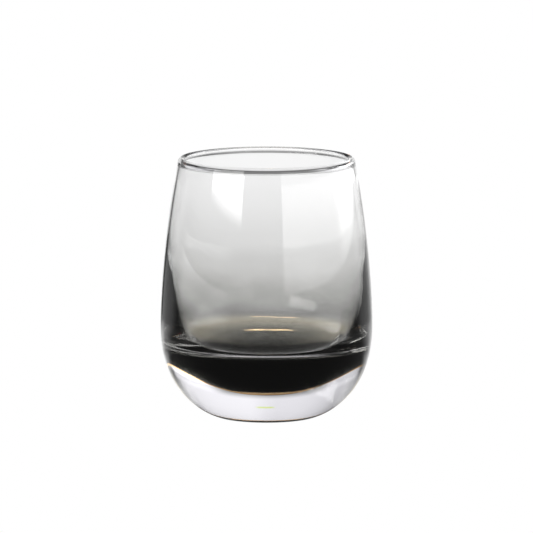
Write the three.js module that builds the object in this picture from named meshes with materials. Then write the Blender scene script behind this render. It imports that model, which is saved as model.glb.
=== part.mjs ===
// A whiskey tumbler of cased glass, made the way a glassblower makes it: a gather of smoke glass is blown
// into the cup that holds the drink, and a gather of clear glass is cased over it. The clear glass forms
// the heavy base, the outside of the wall and the whole lip. The smoke glass is thick under the drink and
// stretches to nothing towards the lip, so the tumbler fades from near black to clear.
//
// Millimetres, +Z up. The origin is the centre of the flat foot. Both pieces turn about the Z axis.

import * as THREE from 'three';

// Outside of the clear casing.
const HEIGHT = 104.2; // foot to the top of the lip
const FOOT_RADIUS = 16; // the flat the tumbler stands on
const BELT_RADIUS = 42.2; // widest radius
const BELT_HEIGHT = 37; // height of the widest radius
const MOUTH_RADIUS = 35.4; // outside radius where the lip begins to round over
const HEEL_SPREAD = 1.2; // above 1 lets the heel leave the foot more gently
const HEEL_RISE = 0.88; // below 1 fills out the heel under the belt
const SIDE_TAPER = 1.76; // above 1 keeps the side upright above the belt and draws it in near the lip

// The fire-polished lip is a bead, thicker than the wall under it, with a top that slopes down inwards.
// Each station is a distance inwards from the outside of the mouth and a depth below the crest.
const LIP_STATIONS = [
  [0, 2.2],
  [0.25, 1.1],
  [0.75, 0.3],
  [1.3, 0],
  [1.9, 0.05],
  [2.5, 0.25],
  [2.85, 0.55],
  [2.95, 0.85],
  [2.75, 1.15],
  [2.25, 1.6],
  [1.7, 2.2],
  [1.2, 3],
];

// Inside of the cup, as stations of radius and height from the floor's centre up to the lip.
const CAVITY_STATIONS = [
  [0, 27.4],
  [14, 27.4],
  [25, 27.6],
  [29.8, 28.3],
  [32.4, 29.8],
  [34, 32.1],
  [35.2, 35.2],
  [36.3, 39.4],
  [37.2, 44.5],
  [38, 50.5],
  [38.6, 57],
  [38.9, 64],
  [38.5, 73],
  [37.3, 83],
  [36.2, 90.8],
  [35.4, 95.8],
  [34.8, 98.8],
];

// Where smoke glass meets clear glass, from the axis under the drink up the wall. It ends on the inside of
// the cup, at the cavity station where the smoke glass has thinned to nothing.
const JOIN_STATIONS = [
  [0, 18.6],
  [9, 19.1],
  [17, 21.4],
  [25, 25],
  [31.5, 28.2],
  [36, 32.2],
  [38.6, 38],
  [39.4, 46],
  [39.7, 55],
  [39.5, 65],
  [38.9, 73],
  [37.5, 83],
];
const SMOKE_EDGE_STATION = 14;

// Facets.
const TURN_SEGMENTS = 48;
const POINTS_PER_STATION = 2;
const HEEL_POINTS = 10;
const SIDE_POINTS = 8;

const toVector = ([radius, height]) => new THREE.Vector2(radius, height);

// Points at even steps from start to end, both included.
function steps(start, end, count) {
  return Array.from({ length: count + 1 }, (_, i) => start + ((end - start) * i) / count);
}

// The rounded heel, from the edge of the foot up to the belt: a soft quarter round.
function heelOutline() {
  return steps(0, Math.PI / 2, HEEL_POINTS).map((turn) => {
    const radius = FOOT_RADIUS + (BELT_RADIUS - FOOT_RADIUS) * Math.sin(turn) ** HEEL_SPREAD;
    const height = BELT_HEIGHT * (1 - Math.cos(turn) ** HEEL_RISE);
    return new THREE.Vector2(radius, height);
  });
}

// The side, from the belt up to where the lip begins.
function sideOutline() {
  const top = HEIGHT - LIP_STATIONS[0][1];
  return steps(BELT_HEIGHT, top, SIDE_POINTS).map((height) => {
    const share = (height - BELT_HEIGHT) / (top - BELT_HEIGHT);
    return new THREE.Vector2(BELT_RADIUS - (BELT_RADIUS - MOUTH_RADIUS) * share ** SIDE_TAPER, height);
  });
}

// The lip's stations as radius and height, from the outside of the mouth over to the inside.
function lipStations() {
  return LIP_STATIONS.map(([inwards, below]) => [MOUTH_RADIUS - inwards, HEIGHT - below]);
}

// A smooth outline through its stations.
function throughStations(stations) {
  return new THREE.SplineCurve(stations.map(toVector)).getPoints((stations.length - 1) * POINTS_PER_STATION);
}

// Turns a closed outline, listed from the axis round to the axis again, into a solid about Z.
function turned(outline) {
  return new THREE.LatheGeometry(outline, TURN_SEGMENTS).rotateX(Math.PI / 2);
}

function piece(name, outline, colour, roughness) {
  const material = new THREE.MeshStandardMaterial({ color: colour, roughness, metalness: 0 });
  const mesh = new THREE.Mesh(turned(outline), material);
  mesh.name = name;
  return mesh;
}

const footCentre = new THREE.Vector2(0, 0);
const airSide = throughStations([...CAVITY_STATIONS, ...lipStations().reverse()]);
const smokeEdge = SMOKE_EDGE_STATION * POINTS_PER_STATION;
const join = throughStations([...JOIN_STATIONS, CAVITY_STATIONS[SMOKE_EDGE_STATION]]);

const casingOutline = [
  footCentre,
  ...heelOutline(),
  ...sideOutline().slice(1),
  ...airSide.slice(smokeEdge, -1).reverse(),
  ...join.slice(0, -1).reverse(),
];
const liningOutline = [...join, ...airSide.slice(0, smokeEdge).reverse()];

const tumbler = new THREE.Group();
tumbler.add(piece('clear_outer_casing', casingOutline, 0xf4f6f6, 0.02));
tumbler.add(piece('smoke_inner_lining', liningOutline, 0x2b2a29, 0.02));

export default tumbler;
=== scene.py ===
"""A cased-glass whiskey tumbler: a smoke glass cup fused inside heavy clear glass, on a pale studio floor.

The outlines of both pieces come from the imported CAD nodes. Each outline is smoothed and turned again at a
much finer pitch, because glass shows every facet of its surface. The camera sees a plain white floor and
background. What the glass reflects and bends are soft panels and patches of light round it.
"""

import math

import bpy
import numpy as np
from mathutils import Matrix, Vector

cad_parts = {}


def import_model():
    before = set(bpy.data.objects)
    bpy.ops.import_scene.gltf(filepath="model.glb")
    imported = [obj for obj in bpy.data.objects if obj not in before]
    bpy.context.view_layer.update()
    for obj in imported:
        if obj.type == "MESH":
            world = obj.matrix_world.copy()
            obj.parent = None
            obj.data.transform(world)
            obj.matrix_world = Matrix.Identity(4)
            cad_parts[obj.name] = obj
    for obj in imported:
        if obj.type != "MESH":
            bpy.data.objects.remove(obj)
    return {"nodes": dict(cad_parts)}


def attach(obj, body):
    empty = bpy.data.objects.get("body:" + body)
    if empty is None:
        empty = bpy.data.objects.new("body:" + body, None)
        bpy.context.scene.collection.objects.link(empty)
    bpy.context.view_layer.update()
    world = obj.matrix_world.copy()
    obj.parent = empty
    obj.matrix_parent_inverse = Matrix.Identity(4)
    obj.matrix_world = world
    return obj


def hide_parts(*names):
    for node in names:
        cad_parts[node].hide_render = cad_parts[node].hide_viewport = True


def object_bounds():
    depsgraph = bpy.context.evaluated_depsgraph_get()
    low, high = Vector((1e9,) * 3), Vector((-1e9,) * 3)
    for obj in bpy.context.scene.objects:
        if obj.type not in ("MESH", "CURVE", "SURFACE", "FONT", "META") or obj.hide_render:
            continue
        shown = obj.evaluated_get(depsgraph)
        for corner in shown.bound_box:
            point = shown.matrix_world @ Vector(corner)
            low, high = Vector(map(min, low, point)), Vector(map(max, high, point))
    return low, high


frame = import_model()
cad_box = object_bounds()

MM = 0.001
TINY = 1e-7  # metres; points nearer than this are one point
ON_PLANE = 1e-6  # metres; how near a plane a CAD vertex is when it lies on it
DECIMALS = 6  # of a metre, so that points shared by two CAD nodes compare equal

CASING = "clear_outer_casing"
LINING = "smoke_inner_lining"

# Fineness of the turned surfaces.
TURN_SEGMENTS = 224
STEPS_PER_POINT = 6

# Glass.
GLASS_INDEX = 1.5
BOND_GAP = 0.02 * MM  # keeps the two bonded faces apart for the renderer; no light bends there
BOND_SHARE = 0.25  # the gap's largest share of the smoke glass's thickness
BOND_GLANCE = (0.89, 0.94)  # how edge-on the bond is where its gold glancing reflection starts and is full
SMOKE_PER_METRE = (240.0, 240.0, 248.0)  # how strongly smoke glass absorbs red, green and blue
CLEAR_PER_METRE = (0.7, 0.75, 0.5)  # and how strongly clear glass does

# A blown shape is never quite true. Waves have cycles round the tumbler, radians per metre up it, a height in
# metres and a phase.
CUP_WAVES = [
    (2, 20, 0.04 * MM, 0.4),
    (3, 60, 0.02 * MM, 2.1),
    (7, 55, 0.012 * MM, 4.0),
    (13, 160, 0.004 * MM, 1.0),
]
OUTSIDE_WAVES = [
    (2, 15, 0.03 * MM, 1.3),
    (5, 40, 0.01 * MM, 3.2),
    (11, 70, 0.003 * MM, 0.7),
]
WAVE_FADE = (6 * MM, 20 * MM)  # radii between which all waves grow from nothing
LIP_FADE = (84 * MM, 98 * MM)  # heights between which all waves die out
FOOT_FADE = (3 * MM, 12 * MM)  # heights between which the outside's waves grow from nothing
CUP_LEAN = 0.3 * MM  # how far the lower cup sits towards +X
LEAN_FADE = (40 * MM, 62 * MM)  # heights between which it comes back to the axis

# Camera, at the viewing angle of a product shot.
VIEW_ELEVATION = math.radians(7.7)
CAMERA_DISTANCE = 6.0
FRAME_WIDTH = 0.2121  # how much the picture takes in across, at the tumbler
AIM_SHARE = 0.58  # the height the camera aims at, as a share of the tumbler's
VIEW_LIMIT = 100.0

# Light paths.
LIGHT_BOUNCES = 24
BOND_CROSSINGS = 32  # times that a ray may go straight on through the bond

# Floor.
FLOOR_DROP = 0.1 * MM
FLOOR_RADIUS = 12.0
FLOOR_CORNERS = 96

# The studio turns with the camera, as if the tumbler stood on a turntable. Azimuths run from 0 behind the
# tumbler to 90 at the camera's right.
ROOM_LIGHT = 0.12
NEUTRAL = (1.0, 1.0, 1.0)
COOL = (1.0, 0.99, 1.03)
WARM = (1.0, 0.92, 0.74)
GOLD = (1.0, 0.7, 0.38)
BLUE = (0.25, 0.05, 1.0)

# Each patch of light has a name, its fades across and along, its strength and its colour. A fade is (starts,
# full, full until, gone). The panels' fades are degrees of azimuth and degrees of elevation. A strength below
# nothing takes light away.
STUDIO_PANELS = [
    ("bright horizon behind", (-24, -14, 14, 24), (-90, -89, 6, 14), 0.8, NEUTRAL),
    ("overhead panel behind", (-100, -12, 46, 66), (18, 23, 50, 62), 0.78, COOL),
    ("its right end", (-6, 10, 40, 48), (9, 13, 40, 50), 0.17, NEUTRAL),
    ("low panel behind, right", (16, 30, 58, 66), (9, 12, 19, 23), 0.75, COOL),
    ("low panel behind, left", (-66, -56, -34, -22), (9, 12, 19, 23), 0.6, COOL),
    ("softbox, front left", (-151, -149, -108, -106), (7, 9, 24, 30), 6.0, NEUTRAL),
    ("low panel, left", (-68, -58, -44, -34), (-2, 1, 8, 12), 0.2, NEUTRAL),
    ("low panel, right", (24, 34, 160, 162), (-2, 1, 13, 19), 1.9, NEUTRAL),
    ("its bright end", (20, 34, 76, 90), (-2, 1, 8, 11), 1.4, NEUTRAL),
    ("lime glint, where blue is taken away", (-5, -2, 3, 6), (27.2, 27.8, 28.4, 29), -0.6, BLUE),
]

# The table's fades are degrees of azimuth and millimetres from the tumbler's axis. The floor glows with these
# painted pools of light and painted caustics. Near the foot it keeps only the room's light, a painted shadow
# of the glass.
FAR = 20000
TABLE_PATCHES = [
    ("light warmed by the smoke glass", (-62, -46, 46, 62), (2, 26, 50, 95), 0.8, WARM),
    ("pool of light behind the foot", (-66, -42, 42, 66), (50, 95, 220, 360), 0.5, NEUTRAL),
    ("brighter part of it", (-46, -32, 32, 46), (90, 140, 190, 360), 0.53, NEUTRAL),
    ("side of the pool, left", (-62, -46, -25, -12), (40, 70, 115, 150), 0.42, NEUTRAL),
    ("side of the pool, right", (12, 25, 46, 62), (50, 80, 115, 150), 0.28, NEUTRAL),
    ("table behind", (-22, -15, 22, 40), (220, 360, FAR, FAR + 1), 0.88, NEUTRAL),
    ("table at the left", (-72, -56, -30, -26), (190, 300, FAR, FAR + 1), 0.32, NEUTRAL),
    ("table at the right", (28, 36, 56, 72), (190, 300, FAR, FAR + 1), 0.34, NEUTRAL),
    ("light beside the foot, left", (-105, -90, -60, -46), (28, 36, 50, 80), 0.8, NEUTRAL),
    ("light beside the foot, right", (46, 60, 90, 105), (28, 36, 50, 80), 0.55, NEUTRAL),
    ("far table, left", (-145, -125, -80, -62), (450, 900, FAR, FAR + 1), 1.7, NEUTRAL),
    ("far table, right", (26, 38, 100, 118), (450, 1400, FAR, FAR + 1), 0.5, NEUTRAL),
    ("table in front, left", (-182, -181, -130, -105), (190, 300, 550, 800), 0.7, NEUTRAL),
    ("table in front, right", (105, 130, 181, 182), (190, 300, 550, 800), 0.5, NEUTRAL),
    ("caustic behind the foot", (-17, -8, 10, 20), (34.5, 35.5, 36.5, 37.5), 18.0, GOLD),
    ("fainter caustic beyond it", (-7, -4, 8, 12), (70.5, 71.3, 72.3, 73), 3.0, GOLD),
]


# ---- Outlines from the CAD ----------------------------------------------------------------------------


def half_plane_edges(node):
    """The CAD node's edges that lie in the half plane x = 0, y <= 0, as pairs of (radius, height)."""
    mesh = frame["nodes"][node].data
    corner = {}
    for vertex in mesh.vertices:
        x, y, z = vertex.co
        if abs(x) < ON_PLANE and y < ON_PLANE:
            corner[vertex.index] = (round(-y, DECIMALS) + 0.0, round(z, DECIMALS) + 0.0)
    pairs = set()
    for edge in mesh.edges:
        a, b = (corner.get(i) for i in edge.vertices)
        if a and b and a != b:
            pairs.add((min(a, b), max(a, b)))
    return pairs


def cad_outline(node):
    """The node's outline as (radius, height) points, from its lowest point on the axis round to the axis."""
    neighbours = {}
    for a, b in half_plane_edges(node):
        neighbours.setdefault(a, []).append(b)
        neighbours.setdefault(b, []).append(a)
    point = min(p for p in neighbours if p[0] == 0)
    outline = [point]
    while True:
        onward = [p for p in neighbours[point] if p not in outline]
        if not onward:
            return outline
        point = onward[0]
        outline.append(point)


def smooth(points):
    """A smooth curve through the points: a cubic between each two, with the slopes that the points have."""
    p = np.array(points)
    s = np.concatenate([[0], np.cumsum(np.linalg.norm(np.diff(p, axis=0), axis=1))])
    slope = np.gradient(p, s, axis=0)
    curve = [p[0]]
    for i in range(len(p) - 1):
        length = s[i + 1] - s[i]
        for t in np.linspace(0, 1, STEPS_PER_POINT + 1)[1:]:
            curve.append(
                (2 * t**3 - 3 * t**2 + 1) * p[i] + (t**3 - 2 * t**2 + t) * length * slope[i]
                + (3 * t**2 - 2 * t**3) * p[i + 1] + (t**3 - t**2) * length * slope[i + 1]
            )
    return np.array(curve)


def outlines():
    """The fine outlines: the join from the axis up, the cup from its floor up, and the outside from the
    smoke glass's edge up over the lip and down to the foot."""
    casing, lining = cad_outline(CASING), cad_outline(LINING)
    join = [p for p in lining if p in casing]
    cup = [p for p in reversed(lining) if p not in join] + [join[-1]]
    outside = [p for p in reversed(casing) if p not in join][:-1]
    air_side = smooth(cup + outside)
    edge = STEPS_PER_POINT * (len(cup) - 1)
    return smooth(join), air_side[: edge + 1], air_side[edge:]


def inset(join, cup):
    """The join moved a hair towards the cup, by less where the smoke glass is very thin."""
    moved = join.copy()
    for i, point in enumerate(join[:-1]):
        reach = cup - point
        distance = np.linalg.norm(reach, axis=1)
        nearest = distance.argmin()
        moved[i] += reach[nearest] * min(BOND_GAP / distance[nearest], BOND_SHARE)
    moved[0][0] = 0.0
    return moved


# ---- The shapes of rings ------------------------------------------------------------------------------


def fade(value, start, end):
    """Eases from 0 to 1 as value goes from start to end."""
    share = min(max((value - start) / (end - start), 0.0), 1.0)
    return share * share * (3 - 2 * share)


def ripple(waves, angles, radius, height):
    """How far each point of a ring is pushed outwards."""
    total = sum(size * np.cos(cycles * angles + rise * height + phase) for cycles, rise, size, phase in waves)
    return total * fade(radius, *WAVE_FADE) * (1 - fade(height, *LIP_FADE))


def bond_ring(angles, radius, height):
    """A ring of the bond between the two glasses."""
    reach = radius + ripple(CUP_WAVES, angles, radius, height)
    return reach * np.cos(angles), reach * np.sin(angles)


def cup_ring(angles, radius, height):
    """A ring of the cup, which waves as the bond does and leans towards +X low down."""
    x, y = bond_ring(angles, radius, height)
    return x + CUP_LEAN * (1 - fade(height, *LEAN_FADE)), y


def outside_ring(angles, radius, height):
    """A ring of the outside, which is true at the foot."""
    reach = radius + ripple(OUTSIDE_WAVES, angles, radius, height) * fade(height, *FOOT_FADE)
    return reach * np.cos(angles), reach * np.sin(angles)


# ---- Turned pieces ------------------------------------------------------------------------------------


def ring_list(sections):
    """The rings of all sections as (radius, height, shape, bonded), once each where two sections meet. A
    ring's bonded says what the faces before it are."""
    rings = []
    for outline, shape, bonded in sections:
        for radius, height in outline:
            if not rings or math.dist(rings[-1][:2], (radius, height)) >= TINY:
                rings.append((radius, height, shape, bonded))
    return rings


def ring_vertices(rings):
    """One vertex at each end, and a circle of them for each ring between."""
    angles = np.linspace(0, 2 * math.pi, TURN_SEGMENTS, endpoint=False)
    vertices = []
    for place, (radius, height, shape, _) in enumerate(rings):
        is_end = place in (0, len(rings) - 1)
        x, y = shape(angles[:1] if is_end else angles, radius, height)
        vertices.extend((*point, height) for point in zip(x, y))
    return vertices


def vertex_at(ring, turn):
    """The index of a vertex of a ring that isn't at an end."""
    return 1 + (ring - 1) * TURN_SEGMENTS + turn % TURN_SEGMENTS


def ring_faces(count):
    """The faces from each of the rings to the next: a fan at each end and four-sided faces between."""
    turns = range(TURN_SEGMENTS)
    last_full = count - 2
    end = vertex_at(last_full, TURN_SEGMENTS - 1) + 1
    faces = [(0, vertex_at(1, turn + 1), vertex_at(1, turn)) for turn in turns]
    for ring in range(1, last_full):
        onward = ring + 1
        for turn in turns:
            near = (vertex_at(ring, turn), vertex_at(ring, turn + 1))
            faces.append((*near, vertex_at(onward, turn + 1), vertex_at(onward, turn)))
    faces += [(end, vertex_at(last_full, turn), vertex_at(last_full, turn + 1)) for turn in turns]
    return faces


def crease(mesh, rings):
    """Keeps the shading of the bond from bending into the air side, along the rings where they meet."""
    joined = {vertex_at(ring, turn) for ring in rings for turn in range(TURN_SEGMENTS)}
    for edge in mesh.edges:
        edge.use_edge_sharp = set(edge.vertices) <= joined


def turned(name, sections):
    """A closed piece turned about Z from sections that follow on from each other, from the axis round to the
    axis. Each is (outline, ring shape, bonded), and bonded faces carry 1 in the attribute "bonded"."""
    rings = ring_list(sections)
    flags = [bonded for *_, bonded in rings]
    mesh = bpy.data.meshes.new(name)
    mesh.from_pydata(ring_vertices(rings), [], ring_faces(len(rings)))
    mesh.shade_smooth()
    crease(mesh, [ring for ring in range(1, len(rings) - 2) if flags[ring] != flags[ring + 1]])
    attribute = mesh.attributes.new("bonded", "FLOAT", "FACE")
    attribute.data.foreach_set("value", np.repeat(np.array(flags[1:], dtype=np.float32), TURN_SEGMENTS))
    mesh.validate()
    piece = bpy.data.objects.new(name, mesh)
    bpy.context.scene.collection.objects.link(piece)
    return piece


def tumbler_pieces():
    """The clear casing and the smoke lining. The casing runs from the foot up the outside, over the lip and
    back along the bond, and the lining up the bond and down the cup."""
    join, cup, outside = outlines()
    crest = outside[:, 1].argmax()
    foot_centre = np.array([[0.0, outside[-1][1]]])
    casing = turned(CASING + "_glass", [
        (foot_centre, outside_ring, False),
        (outside[crest:][::-1], outside_ring, False),
        (outside[: crest + 1][::-1], cup_ring, False),
        (join[::-1], bond_ring, True),
    ])
    lining = turned(LINING + "_glass", [(inset(join, cup), bond_ring, True), (cup[::-1], cup_ring, False)])
    return casing, lining


# ---- Shader nodes -------------------------------------------------------------------------------------


class Nodes:
    """Short calls for building a shader."""

    def __init__(self, tree):
        self.tree = tree
        tree.nodes.clear()

    def new(self, kind, **values):
        """A new node with these settings."""
        node = self.tree.nodes.new(kind)
        for key, value in values.items():
            setattr(node, key, value)
        return node

    def feed(self, socket, value):
        """Links the socket to another node's output, or sets it to a plain value."""
        if isinstance(value, bpy.types.NodeSocket):
            self.tree.links.new(value, socket)
        else:
            socket.default_value = value

    def fed(self, kind, inputs):
        """The first output of a new node whose inputs are fed by name or place."""
        node = self.new(kind)
        for key, value in inputs.items():
            self.feed(node.inputs[key], value)
        return node.outputs[0] if node.outputs else None

    def split(self, vector):
        """The three parts of a vector."""
        node = self.new("ShaderNodeSeparateXYZ")
        self.feed(node.inputs[0], vector)
        return node.outputs[:3]

    def maths(self, operation, *values):
        """The result of an operation on numbers."""
        node = self.new("ShaderNodeMath", operation=operation)
        for socket, value in zip(node.inputs, values):
            self.feed(socket, value)
        return node.outputs[0]

    def vector(self, operation, *values):
        """The result of an operation on vectors or colours."""
        node = self.new("ShaderNodeVectorMath", operation=operation)
        for socket, value in zip(node.inputs, values):
            self.feed(socket, value)
        return node.outputs[0]

    def ramp(self, value, low, high, at_low=0.0, at_high=1.0):
        """Eases from at_low to at_high as value goes from low to high."""
        node = self.new("ShaderNodeMapRange", interpolation_type="SMOOTHSTEP")
        for socket, number in zip(node.inputs, (value, low, high, at_low, at_high)):
            self.feed(socket, number)
        return node.outputs[0]


def material_nodes(name):
    """A new material and the calls for building its shader."""
    material = bpy.data.materials.new(name)
    material.use_nodes = True
    return material, Nodes(material.node_tree)


# ---- Materials ----------------------------------------------------------------------------------------


def air_surface(n):
    """Where glass meets air, light bends and reflects."""
    return n.fed("ShaderNodeBsdfPrincipled", {
        "Base Color": (1, 1, 1, 1),
        "Roughness": 0.0,
        "IOR": GLASS_INDEX,
        "Transmission Weight": 1.0,
    })


def bond_surface(n):
    """Where glass is bonded to glass, light goes straight on, or glances off in gold if nearly edge-on."""
    edge_on = n.new("ShaderNodeLayerWeight")
    straight_on = n.fed("ShaderNodeBsdfTransparent", {})
    gleam = n.fed("ShaderNodeBsdfGlossy", {"Color": (*GOLD, 1), "Roughness": 0.0})
    glance = n.ramp(edge_on.outputs["Facing"], *BOND_GLANCE)
    return n.fed("ShaderNodeMixShader", {0: glance, 1: straight_on, 2: gleam})


def depth_colour(n, per_metre):
    """The light that the glass takes away over its depth."""
    density = max(per_metre)
    colour = (*[1 - loss / density for loss in per_metre], 1)
    return n.fed("ShaderNodeVolumeAbsorption", {"Density": density, "Color": colour})


def glass(name, per_metre):
    """Clear or coloured glass."""
    material, n = material_nodes(name)
    bonded = n.new("ShaderNodeAttribute", attribute_name="bonded").outputs["Fac"]
    surface = n.fed("ShaderNodeMixShader", {0: bonded, 1: air_surface(n), 2: bond_surface(n)})
    n.fed("ShaderNodeOutputMaterial", {"Surface": surface, "Volume": depth_colour(n, per_metre)})
    return material


# ---- Studio -------------------------------------------------------------------------------------------


def between(n, value, starts, full, full_until, gone):
    """Rises from 0 to 1 as value goes from starts to full, and falls back from full_until to gone."""
    return n.maths("MULTIPLY", n.ramp(value, starts, full), n.ramp(value, full_until, gone, 1.0, 0.0))


def camera_azimuth(n, x, y):
    """The azimuth of the level direction x, y as the camera sees it, in degrees."""
    right = n.new("ShaderNodeVectorTransform", vector_type="VECTOR")
    right.convert_from = "CAMERA"
    right.convert_to = "WORLD"
    n.feed(right.inputs[0], (1, 0, 0))
    right_x, right_y, _ = n.split(right.outputs[0])
    aside = n.maths("ADD", n.maths("MULTIPLY", x, right_x), n.maths("MULTIPLY", y, right_y))
    away = n.maths("SUBTRACT", n.maths("MULTIPLY", y, right_x), n.maths("MULTIPLY", x, right_y))
    return n.maths("MULTIPLY", n.maths("ARCTAN2", aside, away), math.degrees(1))


def level_length(n, x, y):
    """The length of the level vector x, y."""
    return n.maths("SQRT", n.maths("ADD", n.maths("MULTIPLY", x, x), n.maths("MULTIPLY", y, y)))


def patchwork(n, across, along, patches):
    """The room's light and the patches' light at a place across and along them, as a colour."""
    total = (ROOM_LIGHT, ROOM_LIGHT, ROOM_LIGHT)
    for _, across_fade, along_fade, strength, colour in patches:
        patch = n.maths("MULTIPLY", between(n, across, *across_fade), between(n, along, *along_fade))
        total = n.vector("MULTIPLY_ADD", patch, [strength * channel for channel in colour], total)
    return total


def unless_seen(n, light):
    """Plain white where the camera looks straight at it, and the given light for the glass."""
    seen = n.new("ShaderNodeLightPath").outputs["Is Camera Ray"]
    return n.vector("MULTIPLY_ADD", light, n.maths("SUBTRACT", 1.0, seen), seen)


def world():
    """The background, which holds the panels of light."""
    scene_world = bpy.data.worlds.new("studio")
    scene_world.use_nodes = True
    n = Nodes(scene_world.node_tree)
    x, y, z = n.split(n.new("ShaderNodeTexCoord").outputs["Generated"])
    elevation = n.maths("MULTIPLY", n.maths("ARCTAN2", z, level_length(n, x, y)), math.degrees(1))
    light = patchwork(n, camera_azimuth(n, x, y), elevation, STUDIO_PANELS)
    background = n.fed("ShaderNodeBackground", {"Color": unless_seen(n, light)})
    n.fed("ShaderNodeOutputWorld", {"Surface": background})
    bpy.context.scene.world = scene_world


def floor_material():
    """The floor's white, and the painted light and painted shadow that the glass sees on it."""
    material, n = material_nodes("studio_floor")
    x, y, _ = n.split(n.new("ShaderNodeNewGeometry").outputs["Position"])
    distance = n.maths("MULTIPLY", level_length(n, x, y), 1 / MM)
    light = patchwork(n, camera_azimuth(n, x, y), distance, TABLE_PATCHES)
    emission = n.fed("ShaderNodeEmission", {"Color": unless_seen(n, light)})
    n.fed("ShaderNodeOutputMaterial", {"Surface": emission})
    return material


def floor():
    """A wide round floor just under the foot."""
    mesh = bpy.data.meshes.new("studio_floor")
    angles = np.linspace(0, 2 * math.pi, FLOOR_CORNERS, endpoint=False)
    rim = [(FLOOR_RADIUS * math.cos(a), FLOOR_RADIUS * math.sin(a), 0) for a in angles]
    mesh.from_pydata(rim, [], [tuple(range(len(rim)))])
    mesh.materials.append(floor_material())
    stage = bpy.data.objects.new("studio_floor", mesh)
    stage.location.z = cad_box[0].z - FLOOR_DROP
    bpy.context.scene.collection.objects.link(stage)


def camera():
    """A distant camera with a long lens, aimed a little above the tumbler's middle."""
    data = bpy.data.cameras.new("camera")
    data.lens = data.sensor_width * CAMERA_DISTANCE / FRAME_WIDTH
    data.clip_end = VIEW_LIMIT
    shot = bpy.data.objects.new("camera", data)
    bpy.context.scene.collection.objects.link(shot)
    aim = cad_box[0].z + AIM_SHARE * (cad_box[1].z - cad_box[0].z)
    back = CAMERA_DISTANCE * math.cos(VIEW_ELEVATION)
    up = CAMERA_DISTANCE * math.sin(VIEW_ELEVATION)
    shot.location = (0, -back, aim + up)
    shot.rotation_euler = (math.pi / 2 - VIEW_ELEVATION, 0, 0)
    bpy.context.scene.camera = shot


def light_paths():
    """Lets light cross all the surfaces of the glass."""
    cycles = bpy.context.scene.cycles
    cycles.max_bounces = LIGHT_BOUNCES
    cycles.transmission_bounces = LIGHT_BOUNCES
    cycles.glossy_bounces = LIGHT_BOUNCES
    cycles.transparent_max_bounces = BOND_CROSSINGS


# ---- The scene ----------------------------------------------------------------------------------------

casing_piece, lining_piece = tumbler_pieces()
for piece, node, slot, per_metre in (
    (casing_piece, CASING, "clear_glass", CLEAR_PER_METRE),
    (lining_piece, LINING, "smoke_glass", SMOKE_PER_METRE),
):
    piece.data.materials.append(glass(slot, per_metre))
    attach(piece, "root")
    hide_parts(node)

world()
floor()
camera()
light_paths()
bpy.context.scene.view_settings.view_transform = "Standard"
